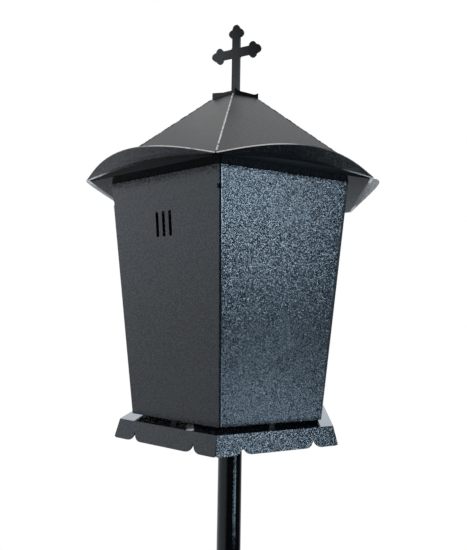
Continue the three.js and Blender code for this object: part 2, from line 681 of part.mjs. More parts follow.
function makeFrontAndDoor() {
  const group = panelFrame(FACE_TURNS.front);
  const from = DOOR.foot + DOOR_LAP;
  const to = DOOR.top - DOOR_LAP;
  const clear = (y) => leafHalf(y) - DOOR_LAP;
  const hole = rounded(trapezoid(from, to, clear(from), clear(to)), DOOR.cornerR);
  const opening = prism(hole, -SHEET_T - 1, 1);
  add(group, 'front_panel', cut(panelBlank('mitre', 'mitre'), opening), MATERIALS.hammered);
  makeDoorLeaf(group);
  makeLatch(group);
  const axisGroup = new THREE.Group();
  const middle = (DOOR.foot + DOOR.top) / 2;
  axisGroup.position.set(-leafHalf(middle) - LEAF_TO_AXIS / Math.cos(CORNER_LEAN), middle, KNUCKLE_LIFT);
  axisGroup.rotation.z = CORNER_LEAN;
  group.add(axisGroup);
  makeHinge(axisGroup, 'upper', HINGE_OFFSET);
  makeHinge(axisGroup, 'lower', -HINGE_OFFSET);
}

// Soffit plate, brackets and their screws

const SOFFIT_BRACKETS = ['front', 'right_rear', 'left_rear'];

// Level distance from the axis to a panel's inner face, less the seat gap, at a depth below the top edge
function insideApothem(below) {
  return TOP_APOTHEM - below * Math.tan(LEAN) - SHEET_T / Math.cos(LEAN) - SEAT_GAP;
}

function makeSoffit() {
  const underApothem = EAVE_APOTHEM - (SOFFIT_T + SEAT_GAP / Math.cos(ROOF_PITCH)) / Math.tan(ROOF_PITCH);
  const plate = prism(hexagon(underApothem / APOTHEM), EAVE_Z, EAVE_Z + SOFFIT_T);
  const through = [EAVE_Z - 1, EAVE_Z + SOFFIT_T + 1];
  const vents = Array.from({ length: SOFFIT_VENTS }, (_, i) => {
    const angle = (2 * Math.PI * i) / SOFFIT_VENTS;
    const place = [SOFFIT_VENT_CIRCLE_R * Math.cos(angle), SOFFIT_VENT_CIRCLE_R * Math.sin(angle), 0];
    return rod(SOFFIT_VENT_R, ...through, 20).translate(...place);
  });
  const boltApothem = insideApothem(0) - BRACKET.boltIn;
  const drills = SOFFIT_BRACKETS.map((name) => {
    const place = outwardOf(FACE_TURNS[name]).multiplyScalar(boltApothem);
    return rod(BRACKET_SCREW.r + SEAT_GAP, ...through, 16).translate(place.x, place.y, 0);
  });
  add(lantern, 'soffit_plate', cut(plate, rod(CHIMNEY_R, ...through, 40), ...vents, ...drills), MATERIALS.roof);
  SOFFIT_BRACKETS.forEach((name, i) => makeBracket(name, i + 1, boltApothem));
}

// Angle that ties a panel to the soffit plate, with its screw
function makeBracket(face, number, boltApothem) {
  const group = uprightFrame(FACE_TURNS[face], BODY_TOP_Z);
  const outer = insideApothem(0);
  const profile = outline([
    [outer, 0],
    [outer - BRACKET.reach, 0],
    [outer - BRACKET.reach, -BRACKET.t],
    [insideApothem(BRACKET.t) - BRACKET.t, -BRACKET.t],
    [insideApothem(BRACKET.drop) - BRACKET.t, -BRACKET.drop],
    [insideApothem(BRACKET.drop), -BRACKET.drop],
  ]);
  // The profile's x is outward (z) and its y is up (y), so the width runs along x
  const place = new THREE.Matrix4().makeBasis(
    new THREE.Vector3(0, 0, 1),
    new THREE.Vector3(0, 1, 0),
    new THREE.Vector3(-1, 0, 0),
  );
  const angle = prism(profile, -BRACKET.width / 2, BRACKET.width / 2).applyMatrix4(place);
  const upright = (radius, from, to) => rod(radius, from, to, 16).rotateX(-Math.PI / 2).translate(0, 0, boltApothem);
  const bracket = cut(angle, upright(BRACKET_SCREW.r + SEAT_GAP, -BRACKET.t - 1, 1));
  add(group, `roof_bracket_${number}`, bracket, MATERIALS.hammered);
  const headTop = -BRACKET.t - SEAT_GAP;
  const end = SEAT_GAP + SOFFIT_T + BRACKET_SCREW.end;
  const shank = upright(BRACKET_SCREW.r, headTop - BRACKET_SCREW.headH / 2, end);
  const head = upright(BRACKET_SCREW.headR, headTop - BRACKET_SCREW.headH, headTop);
  add(group, `roof_screw_${number}`, join(shank, head), MATERIALS.zinc);
}

// Roof petals

// Underside of a petal at u, as rows from the smoke hole to the brim's edge.
// u runs from -1 at one corner of the side to 1 at the other.
// Each point has its distance from the axis, height, half-width there and slope (down is positive).
function petalRows(u, brim) {
  const share = (1 - u * u) ** brim.bow;
  const rise = Math.atan2(brim.lift, brim.out);
  const foldTurn = ROOF_PITCH + rise;
  const width = BRIM_END + (Math.hypot(brim.out, brim.lift) - BRIM_END) * share;
  const radius = FOLD_END_R + (FOLD_R - FOLD_END_R) * share;
  const tangent = radius * Math.tan(foldTurn / 2);
  const slopeAt = (back) => [EAVE_APOTHEM - back * Math.cos(ROOF_PITCH), EAVE_Z + back * Math.sin(ROOF_PITCH)];
  const holeApothem = SMOKE_HOLE_R * APOTHEM;
  const holeBack = (EAVE_APOTHEM - holeApothem) / Math.cos(ROOF_PITCH);
  const rows = [{ at: slopeAt(holeBack), half: holeApothem * Math.tan(SIXTH), slope: ROOF_PITCH }];
  const [startA, startZ] = slopeAt(tangent);
  const cornerHalf = EAVE_R * HALF_SIDE;
  for (let i = 0; i <= FOLD_ROWS; i += 1) {
    const slope = ROOF_PITCH - (foldTurn * i) / FOLD_ROWS;
    const a = startA + radius * (Math.sin(ROOF_PITCH) - Math.sin(slope));
    const z = startZ - radius * (Math.cos(slope) - Math.cos(ROOF_PITCH));
    rows.push({ at: [a, z], half: cornerHalf, slope });
  }
  const last = rows[rows.length - 1].at;
  const rest = width - tangent;
  const edge = [last[0] + rest * Math.cos(rise), last[1] + rest * Math.sin(rise)];
  rows.push({ at: edge, half: cornerHalf, slope: -rise });
  return rows;
}

// The mitre at the hips: a point never crosses the plane through the axis and the corner
function petalPoint(row, u, lift) {
  const a = row.at[0] + lift * Math.sin(row.slope);
  const y = row.at[1] + lift * Math.cos(row.slope);
  const hip = a * Math.tan(SIXTH) - SEAM_GAP / 2 / Math.cos(SIXTH);
  const x = u * Math.min(row.half, hip);
  return [x, y, a];
}

function petalGeometry(brim) {
  const columns = Array.from({ length: PETAL_COLUMNS + 1 }, (_, i) => -1 + (2 * i) / PETAL_COLUMNS);
  const both = (row, u) => [petalPoint(row, u, 0), petalPoint(row, u, PETAL_T)];
  const grid = columns.map((u) => petalRows(u, brim).map((row) => both(row, u)));
  const rowCount = grid[0].length;
  const positions = grid.flat(3);
  const at = (column, row, side) => (column * rowCount + row) * 2 + side;
  const index = [];
  const quad = (a, b, c, d) => index.push(a, b, c, a, c, d);
  for (let c = 0; c < columns.length - 1; c += 1) {
    for (let r = 0; r < rowCount - 1; r += 1) {
      quad(at(c, r, 1), at(c, r + 1, 1), at(c + 1, r + 1, 1), at(c + 1, r, 1));
      quad(at(c, r, 0), at(c + 1, r, 0), at(c + 1, r + 1, 0), at(c, r + 1, 0));
    }
    quad(at(c, 0, 0), at(c, 0, 1), at(c + 1, 0, 1), at(c + 1, 0, 0));
    quad(at(c, rowCount - 1, 1), at(c, rowCount - 1, 0), at(c + 1, rowCount - 1, 0), at(c + 1, rowCount - 1, 1));
  }
  const last = columns.length - 1;
  for (let r = 0; r < rowCount - 1; r += 1) {
    quad(at(0, r, 0), at(0, r + 1, 0), at(0, r + 1, 1), at(0, r, 1));
    quad(at(last, r, 1), at(last, r + 1, 1), at(last, r + 1, 0), at(last, r, 0));
  }
  const geometry = new THREE.BufferGeometry();
  geometry.setAttribute('position', new THREE.Float32BufferAttribute(positions, 3));
  geometry.setIndex(index);
  return geometry;
}

function makeRoof() {
  for (const [name, turn] of Object.entries(FACE_TURNS)) {
    const brim = name === 'left_front' ? NARROW_BRIM : BRIM;
    add(uprightFrame(turn, 0), `roof_petal_${name}`, petalGeometry(brim), MATERIALS.roof);
  }
}

// Collar and cross

// Six-sided ring that peaks at its corners
function collarRing(cornerZ, betweenZ) {
  return Array.from({ length: SIDES }, (_, k) => {
    const angle = 2 * SIXTH * k + THREE.MathUtils.degToRad(COLLAR_TURN);
    const here = new THREE.Vector3(COLLAR_R * Math.cos(angle), COLLAR_R * Math.sin(angle), betweenZ);
    const next = new THREE.Vector3(COLLAR_R, 0, 0).applyAxisAngle(here.clone().set(0, 0, 1), angle + 2 * SIXTH);
    next.z = betweenZ;
    const along = [COLLAR_PEAK, 0.5, 1 - COLLAR_PEAK].map((share) => here.clone().lerp(next, share));
    return [here.clone().setZ(cornerZ), ...along];
  }).flat();
}

function makeCollar() {
  const blankFoot = COLLAR_FOOT_Z - 2;
  const crown = loft(collarRing(blankFoot, blankFoot), collarRing(COLLAR_TOP_Z, COLLAR_DECK_Z));
  const deckUnder = COLLAR_DECK_Z - COLLAR_TOP_T;
  const hollow = prism(hexagon(COLLAR_R - COLLAR_WALL / APOTHEM), blankFoot - 1, deckUnder);
  hollow.rotateZ(THREE.MathUtils.degToRad(COLLAR_TURN));
  const dish = rod(COLLAR_R * APOTHEM - COLLAR_WALL, COLLAR_DECK_Z, COLLAR_TOP_Z + 1, 24);
  const bore = rod(TANG_R + SEAT_GAP, deckUnder - 1, COLLAR_TOP_Z + 1);
  const slopesFoot = blankFoot - 1;
  const slopesRise = COLLAR_REST_TIP_Z - slopesFoot;
  const slopes = new THREE.ConeGeometry((slopesRise * EAVE_R) / ROOF_RISE, slopesRise, SIDES);
  slopes.rotateX(Math.PI / 2).rotateZ(SIXTH).translate(0, 0, slopesFoot + slopesRise / 2);
  const underDeck = cut(slopes, block(-COLLAR_R, COLLAR_R, -COLLAR_R, COLLAR_R, deckUnder, COLLAR_REST_TIP_Z + 1));
  add(lantern, 'roof_collar', cut(crown, hollow, dish, bore, underDeck), MATERIALS.cross);
}

// Outline of the cross in its own plane, from its foot up, with y = 0 at the middle of the bar
function crossShapes(footY) {
  const half = CROSS.width / 2;
  const stem = outline(trapezoid(footY, CROSS.head - BUD.r, half, half));
  const bar = outline(trapezoid(-half, half, CROSS.arm - BUD.r, CROSS.arm - BUD.r));
  const shapes = [stem, bar];
  for (const [length, turn] of [[CROSS.head, Math.PI / 2], [CROSS.arm, 0], [CROSS.arm, Math.PI]]) {
    const tip = length - BUD.r;
    const back = tip - BUD.back;
    const lobes = [[tip, 0], [back, BUD.side], [back, -BUD.side]];
    const turned = ([x, y]) => [x * Math.cos(turn) - y * Math.sin(turn), x * Math.sin(turn) + y * Math.cos(turn)];
    for (const [x, y] of lobes.map(turned)) {
      const lobe = new THREE.Shape();
      lobe.absarc(x, y, BUD.r, 0, 2 * Math.PI, false);
      shapes.push(lobe);
    }
    shapes.push(outline(lobes.map(turned)));
  }
  for (const [sx, sy] of [[1, 1], [-1, 1], [-1, -1], [1, -1]]) {
    shapes.push(crossFillet(sx, sy, half));
  }
  return shapes;
}

// Small round fillet in one inner corner of the crossing
function crossFillet(sx, sy, half) {
  const reach = half + CROSS.fillet;
  const inside = half - 1;
  const points = [[inside, inside], [reach, inside], [reach, half]];
  for (let i = 1; i < 4; i += 1) {
    const angle = (Math.PI / 2) * (i / 4);
    points.push([reach - CROSS.fillet * Math.sin(angle), reach - CROSS.fillet * Math.cos(angle)]);
  }
  points.push([half, reach], [inside, reach]);
  const mirrored = points.map(([x, y]) => [sx * x, sy * y]);
  return outline(sx * sy > 0 ? mirrored : mirrored.reverse());
}

function makeCross() {
  const centreZ = COLLAR_DECK_Z + CROSS.centreAbove;
  const footY = COLLAR_DECK_Z + SEAT_GAP - centreZ;
  const plates = crossShapes(footY).map((shape) => prism(shape, -CROSS.t / 2, CROSS.t / 2, 5));
  const flat = plates.map((plate) => plate.rotateX(Math.PI / 2).translate(0, 0, centreZ));
  const washerTop = EAVE_Z + ROOF_RISE - CLAMP_WASHER_R * Math.tan(ROOF_PITCH) - SEAT_GAP / Math.cos(ROOF_PITCH);
  const nutTop = washerTop - CLAMP_WASHER_T - SEAT_GAP;
  const nutFoot = nutTop - TANG_NUT.t;
  const tang = rod(TANG_R, nutFoot - TANG_END, COLLAR_DECK_Z + 2);
  const cross = join(...flat, tang).rotateZ(THREE.MathUtils.degToRad(CROSS_TURN));
  add(lantern, 'cross', cross, MATERIALS.cross);
  const bore = rod(TANG_R + SEAT_GAP, nutFoot - 1, washerTop + 1);
  const washer = cut(rod(CLAMP_WASHER_R, washerTop - CLAMP_WASHER_T, washerTop, 36), bore);
  add(lantern, 'roof_clamp_washer', washer, MATERIALS.zinc);
  add(lantern, 'cross_nut', cut(prism(hexagon(TANG_NUT.r), nutFoot, nutTop), bore), MATERIALS.zinc);
}

makeStand();
makeSocket();
makeTray();
makeCupAndBolts();
makeRearPanel();
makePlainPanel('left_rear', 'butt', 'mitre');
makePlainPanel('right_rear', 'mitre', 'butt');
makeWindowPanel('left_front');
makeWindowPanel('right_front');
makeFrontAndDoor();
makeSoffit();
makeRoof();
makeCollar();
makeCross();

export default lantern;
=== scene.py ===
# Six-sided grave lantern: finishes, welds and studio round the fixed frame
import json
import math

import bpy
from mathutils import Matrix, Vector


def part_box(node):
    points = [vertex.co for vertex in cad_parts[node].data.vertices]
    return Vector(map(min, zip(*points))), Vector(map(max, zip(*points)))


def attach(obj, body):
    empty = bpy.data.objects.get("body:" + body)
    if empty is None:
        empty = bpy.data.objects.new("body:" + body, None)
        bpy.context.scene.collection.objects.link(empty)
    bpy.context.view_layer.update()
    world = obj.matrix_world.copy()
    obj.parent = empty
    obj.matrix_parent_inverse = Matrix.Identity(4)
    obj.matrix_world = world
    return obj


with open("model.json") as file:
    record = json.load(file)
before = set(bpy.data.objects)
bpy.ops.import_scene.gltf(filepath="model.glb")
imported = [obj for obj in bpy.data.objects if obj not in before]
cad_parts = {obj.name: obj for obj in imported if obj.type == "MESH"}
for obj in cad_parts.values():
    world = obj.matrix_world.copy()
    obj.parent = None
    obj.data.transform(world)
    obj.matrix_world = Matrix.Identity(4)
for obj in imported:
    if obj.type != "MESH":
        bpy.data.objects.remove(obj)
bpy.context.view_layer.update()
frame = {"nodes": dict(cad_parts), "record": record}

bpy.ops.object.select_all(action="DESELECT")

# Sizes of the lantern, in metres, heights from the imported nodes
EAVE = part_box("soffit_plate")[0][2]
EAVE_R = 0.1574
ROOF_RISE = 0.1294
ROOF_SHEET = 0.0012
TRAY_TOP = EAVE - 0.2305
BODY_FOOT = TRAY_TOP + 0.0042
BODY_RISE = 0.226
BODY_FOOT_R = 0.106
BODY_TOP_R = 0.134
NOTCH_HEIGHT = 0.2075
CROSS_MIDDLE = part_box("cross")[1][2] - 0.0326

# Turns round the pole's axis, in degrees from +X
SIDES = 6
SIDE_TURN = 60
REAR_HIP = 120
LEFT_REAR_FACE = 150

# Half the angle of one side, in radians
HALF_SIDE = math.radians(SIDE_TURN / 2)


def round_place(turn, distance, height):
    """Point at this turn and distance from the pole's axis."""
    angle = math.radians(turn)
    return (distance * math.cos(angle), distance * math.sin(angle), height)


# Shader expressions

class Value:
    """One output of a node. Arithmetic on it adds Math nodes."""

    def __init__(self, finish, socket):
        self.finish = finish
        self.socket = socket

    def math(self, operation, first, second=0.0):
        return self.finish.math(operation, first, second)

    def __add__(self, other):
        return self.math("ADD", self, other)

    def __radd__(self, other):
        return self.math("ADD", other, self)

    def __sub__(self, other):
        return self.math("SUBTRACT", self, other)

    def __rsub__(self, other):
        return self.math("SUBTRACT", other, self)

    def __mul__(self, other):
        return self.math("MULTIPLY", self, other)

    def __rmul__(self, other):
        return self.math("MULTIPLY", other, self)

    def __truediv__(self, other):
        return self.math("DIVIDE", self, other)

    def __abs__(self):
        return self.math("ABSOLUTE", self)

    def at_most(self, other):
        return self.math("MINIMUM", self, other)

    def at_least(self, other):
        return self.math("MAXIMUM", self, other)

    def step(self, start, end):
        """0 on start's side and 1 on end's side, smooth between. Either may be the higher."""
        if start > end:
            return 1 - self.step(end, start)
        settings = {"interpolation_type": "SMOOTHSTEP"}
        return self.finish.node("ShaderNodeMapRange", settings, {0: self, 1: start, 2: end})


class Finish:
    """A material in the making, on the pieces' own coordinates in metres, or a world on its directions."""

    def __init__(self, name, world=False):
        kind = bpy.data.worlds if world else bpy.data.materials
        self.material = kind.new(name)
        self.material.use_nodes = True
        self.tree = self.material.node_tree
        self.tree.nodes.clear()
        self.place = self.node("ShaderNodeTexCoord", output="Generated" if world else "Object")
        self.normal = Value(self, self.place.socket.node.outputs["Normal"])

    def node(self, kind, settings=None, inputs=None, output=0):
        node = self.tree.nodes.new(kind)
        for key, value in (settings or {}).items():
            setattr(node, key, value)
        for key, value in (inputs or {}).items():
            if isinstance(value, Value):
                self.tree.links.new(value.socket, node.inputs[key])
            else:
                node.inputs[key].default_value = value
        return Value(self, node.outputs[output]) if node.outputs else None

    def math(self, operation, first, second=0.0):
        return self.node("ShaderNodeMath", {"operation": operation}, {0: first, 1: second})

    def distance(self, x, y):
        return self.math("SQRT", x * x + y * y)

    def noise(self, scale, detail=2.0):
        inputs = {"Vector": self.place, "Scale": scale, "Detail": detail}
        return self.node("ShaderNodeTexNoise", inputs=inputs)

    def colour(self, mask, low, high):
        """From low where the mask is 0 to high where it is 1. Sockets 6 and 7 are the Mix node's colours."""
        mixed = {0: mask, 6: low if isinstance(low, Value) else (*low, 1), 7: (*high, 1)}
        return self.node("ShaderNodeMix", {"data_type": "RGBA"}, mixed, output=2)

    def vector(self, operation, *inputs, **named):
        sockets = {**dict(enumerate(inputs)), **named}
        return self.node("ShaderNodeVectorMath", {"operation": operation}, sockets)

    def parts(self, vector):
        split = self.node("ShaderNodeSeparateXYZ", inputs={0: vector}).socket.node
        return [Value(self, output) for output in split.outputs]

    def turned(self, turn):
        """The coordinates with the face at this turn in front: y points outward, x along the face."""
        angle = math.radians(90 - turn)
        settings = {"rotation_type": "Z_AXIS"}
        return self.node("ShaderNodeVectorRotate", settings, {"Vector": self.place, "Angle": angle})

    def facets(self, scale, spread):
        """Normals of small flat facets, each tilted its own way."""
        inputs = {"Vector": self.place, "Scale": scale}
        tint = self.node("ShaderNodeTexVoronoi", {"feature": "F1"}, inputs, "Color")
        off = self.vector("SUBTRACT", tint, (0.5, 0.5, 0.5))
        face = self.node("ShaderNodeNewGeometry", output="Normal")
        return self.vector("NORMALIZE", self.vector("ADD", self.vector("SCALE", off, Scale=spread), face))

    def bump(self, height, distance, normal=None):
        inputs = {"Height": height, "Distance": distance}
        if normal:
            inputs["Normal"] = normal
        return self.node("ShaderNodeBump", inputs=inputs)

    def done(self, **inputs):
        named = {key.replace("_", " "): value for key, value in inputs.items()}
        shader = self.node("ShaderNodeBsdfPrincipled", inputs=named)
        self.node("ShaderNodeOutputMaterial", inputs={"Surface": shader})
        return self.material


# Finishes

COAT = (0.001, 0.0012, 0.0015)
COAT_PALER = (0.045, 0.051, 0.058)
# Bare metal, for worn spots and for painted highlights along edges and rims
BARE_METAL_HIGHLIGHT = (0.82, 0.82, 0.8)

HAMMER_SCALE = 2100
FOLD_SMOOTHING = 0.68
DUST = 0.75

# The soft fold of a petal starts a little above the eave at the corner, and rises inward
FOLD_START = 0.0004
FOLD_SLOPE = 0.215

# The round mark on the left rear panel, from the nearer corner and from the body's foot
MARK_INSET = 0.0056
MARK_HEIGHT = 0.0095


def hammered_coat(name, tilt=0.3, dull=0.14, level_tilt=0.02, level_dull=0.06, shine=0.5, pale_where_shaded=1, film=0,
                  wear_and_highlight=None, smoothed=None, sunk=None):
    """Near-black powder coat hammered into small facets, each with its own tilt.

    On faces that look up the coat has run level: level_tilt and level_dull are the tilt and dullness there,
    and film is the clear gloss on them. Elsewhere pale_where_shaded is the share of the paler tone, and a low
    share there is painted shade on the undersides and sides. Three masks mark places: wear_and_highlight
    those in bare metal, partly rubbed wear and partly painted highlight, smoothed those with flatter facets,
    sunk the dull grooves.
    """
    coat = Finish(name)
    levelled = coat.parts(coat.normal)[2].step(0.3, 0.6)
    spread = tilt + levelled * (level_tilt - tilt)
    if smoothed:
        spread = spread * (1 - FOLD_SMOOTHING * smoothed(coat))
    tone = 0.8 * coat.noise(800, detail=1.0) + 0.2 * coat.noise(14, detail=3.0)
    # Off the up-facing faces the paler tone is cut to its share: painted shade on undersides and sides
    paler = tone.step(0.36, 0.64) * (pale_where_shaded + levelled * (1 - pale_where_shaded))
    colour = coat.colour(paler, COAT, COAT_PALER)
    roughness = dull + levelled * (level_dull - dull) + 0.05 * coat.noise(300)
    metal = 0.0
    # Bare metal where the mask says, for wear and for painted highlights
    if wear_and_highlight:
        metal = wear_and_highlight(coat) * coat.noise(240).step(0.2, 0.45)
        colour = coat.colour(metal, colour, BARE_METAL_HIGHLIGHT)
        roughness = roughness + 0.1 * metal
    if sunk:
        roughness = roughness + sunk(coat)
    peel = coat.noise(900, detail=1.0) * (1 - levelled)
    return coat.done(
        Base_Color=colour,
        Metallic=metal,
        Roughness=roughness,
        Specular_IOR_Level=shine,
        Coat_Weight=film * levelled if film else 0.0,
        Normal=coat.bump(peel, 0.00006, normal=coat.facets(HAMMER_SCALE, spread)),
    )


def brim_wear_and_highlight(coat):
    """The petals' cut edges near the rear hip, and the ends of their folds at the other corners, in bare
    metal: partly wear, partly painted highlight.
    """
    x, y, height = coat.parts(coat.place)
    angle = math.radians(REAR_HIP)
    rearward = x * math.cos(angle) + y * math.sin(angle)
    slope = coat.parts(coat.normal)[2]
    cut = slope.step(0.38, 0.42) * slope.step(0.66, 0.62)
    # The cut edge is bare toward the rear hip only, where the painted highlight runs along it
    cut_edge_highlight = cut * (0.05 + 0.95 * rearward.step(0.136, 0.15))
    r = coat.distance(x, y)
    # Near each corner a thin line along the fold is bare: a painted highlight
    above_fold = height - (EAVE + FOLD_START) - FOLD_SLOPE * (EAVE_R - r)
    near_corner = r.step(0.145, 0.15) * rearward.step(0.125, 0.11)
    fold = above_fold.step(0.0006, 0.0004) * slope.step(0.55, 0.45) * near_corner
    return (cut_edge_highlight + fold).at_most(1)


def square_edges(coat):
    """The rear panel's two square-cut edges."""
    return abs(coat.parts(coat.normal)[0]).step(0.9, 0.95)


def panel_foot(coat):
    """The small foot below a panel, dull with dust."""
    return DUST * coat.parts(coat.place)[2].step(BODY_FOOT, BODY_FOOT - 0.0004)


def corner_inset(coat):
    """A point's distance from the left rear panel's nearer corner, and its height above the body's foot.

    A side of the hexagon is as long as the radius to its corners, so half the radius is half the face.
    """
    x, _, z = coat.parts(coat.turned(LEFT_REAR_FACE))
    above = z - BODY_FOOT
    return BODY_FOOT_R / 2 + above * ((BODY_TOP_R - BODY_FOOT_R) / 2 / BODY_RISE) - abs(x), above


def corner_strips(coat):
    """Smooth folds beside the corners."""
    inset, _ = corner_inset(coat)
    return inset.step(0.003, 0.0026)


def corner_grooves(coat):
    """A fine groove along each fold, a notch in it, a small round mark near the foot, and the foot itself."""
    inset, above = corner_inset(coat)
    groove = inset.step(0.0012, 0.0015) * inset.step(0.0022, 0.0019)
    notch = inset.step(0.0026, 0.0022) * abs(above - NOTCH_HEIGHT).step(0.0024, 0.0018)
    mark = coat.distance(inset - MARK_INSET, above - MARK_HEIGHT).step(0.0018, 0.0012)
    return (DUST * (groove + notch + mark) + panel_foot(coat)).at_most(DUST)


def gloss_coat(name):
    """Black gloss with a fine orange peel that breaks its highlights up."""
    coat = Finish(name)
    tone = coat.noise(30).step(0.3, 0.7)
    return coat.done(
        Base_Color=coat.colour(tone, (0.0015, 0.002, 0.0025), (0.003, 0.0035, 0.0045)),
        Specular_IOR_Level=0.3,
        Roughness=0.08 + 0.05 * coat.noise(120),
        Normal=coat.bump(coat.noise(60, detail=1.0), 0.00008, normal=coat.facets(1300, 0.07)),
    )


def cross_coat(name):
    """Dull black coat, paler low down and toward one arm."""
    coat = Finish(name)
    x, y, z = coat.parts(coat.place)
    aside = 0.81 * x + 0.58 * y - 0.5 * (z - CROSS_MIDDLE)
    tone = coat.noise(90, detail=3.0)
    paler = (aside + 0.01 * (tone - 0.5)).step(-0.032, 0.03)
    return coat.done(
        Base_Color=coat.colour(paler, (0.005, 0.005, 0.0055), (0.125, 0.122, 0.115)),
        Specular_IOR_Level=0.15,
        Roughness=0.38 + 0.1 * tone,
        Normal=coat.bump(coat.noise(500), 0.00005),
    )


def collar_highlight_coat(name):
    """Black gloss, with bare metal along the top of the rim as a painted highlight."""
    coat = Finish(name)
    x, y, _ = coat.parts(coat.place)
    top = coat.parts(coat.normal)[2].step(0.6, 0.8)
    # Painted highlight: bare metal on the top of the rim, near its outer edge
    rim = top * coat.distance(x, y).step(0.0225, 0.0245) * coat.noise(160).step(0.35, 0.5)
    return coat.done(
        Base_Color=coat.colour(rim, (0.004, 0.004, 0.0035), BARE_METAL_HIGHLIGHT),
        Metallic=rim,
        Specular_IOR_Level=0.3,
        Roughness=0.16 + 0.2 * rim,
        Normal=coat.bump(coat.noise(400), 0.00005),
    )


def zinc(name):
    """Dull zinc plating, a little patchy."""
    metal = Finish(name)
    tone = metal.noise(300, detail=3.0)
    colour = metal.colour(tone, (0.5, 0.51, 0.53), (0.68, 0.69, 0.7))
    return metal.done(Base_Color=colour, Metallic=1.0, Roughness=0.32 + 0.12 * tone)


def clear_glass(name):
    pane = Finish(name)
    return pane.done(Base_Color=(0.9, 0.96, 0.95, 1), Roughness=0.02, IOR=1.5, Transmission_Weight=1.0)


def weld_metal(name):
    """Bright, rubbed bead with dark coat left in its hollows."""
    bead = Finish(name)
    tone = bead.noise(420, detail=2.0)
    rubbed = tone.step(0.36, 0.48)
    return bead.done(
        Base_Color=bead.colour(rubbed, (0.1, 0.1, 0.102), (0.9, 0.9, 0.88)),
        Metallic=rubbed,
        Roughness=0.4 + 0.2 * tone,
        Normal=bead.bump(tone, 0.0002),
    )


def dress_frame():
    """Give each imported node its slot's finish, and the nodes with marks of their own theirs."""
    # The roof coat's undersides get little of the paler tone: painted shade
    roof = {"tilt": 0.6, "dull": 0.2, "level_tilt": 0.03, "level_dull": 0.3, "pale_where_shaded": 0.2}
    finishes = {
        "hammered_coat": hammered_coat("hammered_coat"),
        "roof_coat": hammered_coat("roof_coat", wear_and_highlight=brim_wear_and_highlight, **roof),
        "gloss_coat": gloss_coat("gloss_coat"),
        "cross_coat": cross_coat("cross_coat"),
        "zinc": zinc("zinc"),
        "glass": clear_glass("clear_glass"),
    }
    slots = {part["node"]: part["material_slot"] for part in frame["record"]["subparts"]}
    for node, part in frame["nodes"].items():
        part.data.materials.clear()
        part.data.materials.append(finishes[slots[node]])
    own = {
        "base_tray": hammered_coat("tray_coat", shine=0.42, film=1),
        "rear_panel": hammered_coat("rear_panel_coat", smoothed=square_edges, sunk=panel_foot),
        "left_rear_panel": hammered_coat("left_rear_panel_coat", smoothed=corner_strips, sunk=corner_grooves),
        # The soffit's coat has almost no shine and little of the paler tone: painted shade under the eave
        "soffit_plate": hammered_coat("soffit_shade_coat", tilt=0.12, dull=0.1, shine=0.02, pale_where_shaded=0.2),
        "roof_collar": collar_highlight_coat("collar_highlight_coat"),
    }
    for node, finish in own.items():
        frame["nodes"][node].data.materials[0] = finish


# Steps that the new pieces share

SMOOTH_BELOW = math.radians(40)


def select_only(elements, kind, wanted):
    """Go to edit mode with only the wanted vertices or edges selected."""
    bpy.ops.object.mode_set(mode="EDIT")
    bpy.ops.mesh.select_mode(type=kind)
    bpy.ops.mesh.select_all(action="DESELECT")
    bpy.ops.object.mode_set(mode="OBJECT")
    for element in elements:
        element.select = wanted(element)
    bpy.ops.object.mode_set(mode="EDIT")


def set_in_place(piece, middle, turned):
    """Put the piece where it belongs and take its place into its mesh."""
    piece.matrix_world = Matrix.Translation(middle) @ turned.to_4x4()
    bpy.ops.object.transform_apply(location=True, rotation=True, scale=True)


def finish_piece(piece, modifier, finish):
    """Apply the piece's modifier, smooth and dress the piece, and let it ride on the lantern."""
    bpy.ops.object.modifier_apply(modifier=modifier.name)
    bpy.ops.object.shade_smooth_by_angle(angle=SMOOTH_BELOW)
    piece.data.materials.append(finish)
    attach(piece, "lantern")
    bpy.ops.object.select_all(action="DESELECT")


# Welds

HIP_FOOT_R = EAVE_R - 0.002
HIP_HEAD_R = 0.0295
HIP_SINK = 0.0002
REAR_BEAD_R = 0.0008
HIP_BEAD_R = 0.0005
CORNER_BEAD_R = 0.0007
INSIDE_CORNER = 0.002
CORNER_END = 0.001


def weld_bead(name, foot, head, radius, finish, slot):
    """Thin uneven bead along a straight seam."""
    run = head - foot
    bpy.ops.mesh.primitive_cylinder_add(vertices=8, radius=radius, depth=run.length)
    bead = bpy.context.object
    bead.name = name
    points = bead.data.vertices

    def lengthwise(edge):
        a, b = (points[i].co.z for i in edge.vertices)
        return abs(a - b) > run.length / 2

    select_only(bead.data.edges, "EDGE", lengthwise)
    bpy.ops.mesh.subdivide(number_cuts=round(run.length / (2 * radius)))
    bpy.ops.object.mode_set(mode="OBJECT")
    set_in_place(bead, (foot + head) / 2, run.to_track_quat("Z", "Y").to_matrix())
    spatter = bpy.data.textures.new(name, "CLOUDS")
    spatter.noise_scale = 0.0022
    spatter.noise_depth = 1
    uneven = bead.modifiers.new("uneven", "DISPLACE")
    uneven.texture = spatter
    uneven.texture_coords = "LOCAL"
    uneven.strength = 0.0011
    uneven.mid_level = 0.55
    finish_piece(bead, uneven, finish)


def hip_place(turn, r):
    """Point on the roof's outer face, on the hip at this turn."""
    upright_sheet = ROOF_SHEET / math.cos(math.atan2(ROOF_RISE, EAVE_R * math.cos(HALF_SIDE)))
    height = EAVE + ROOF_RISE * (1 - r / EAVE_R) + upright_sheet - HIP_SINK
    return Vector(round_place(turn, r, height))


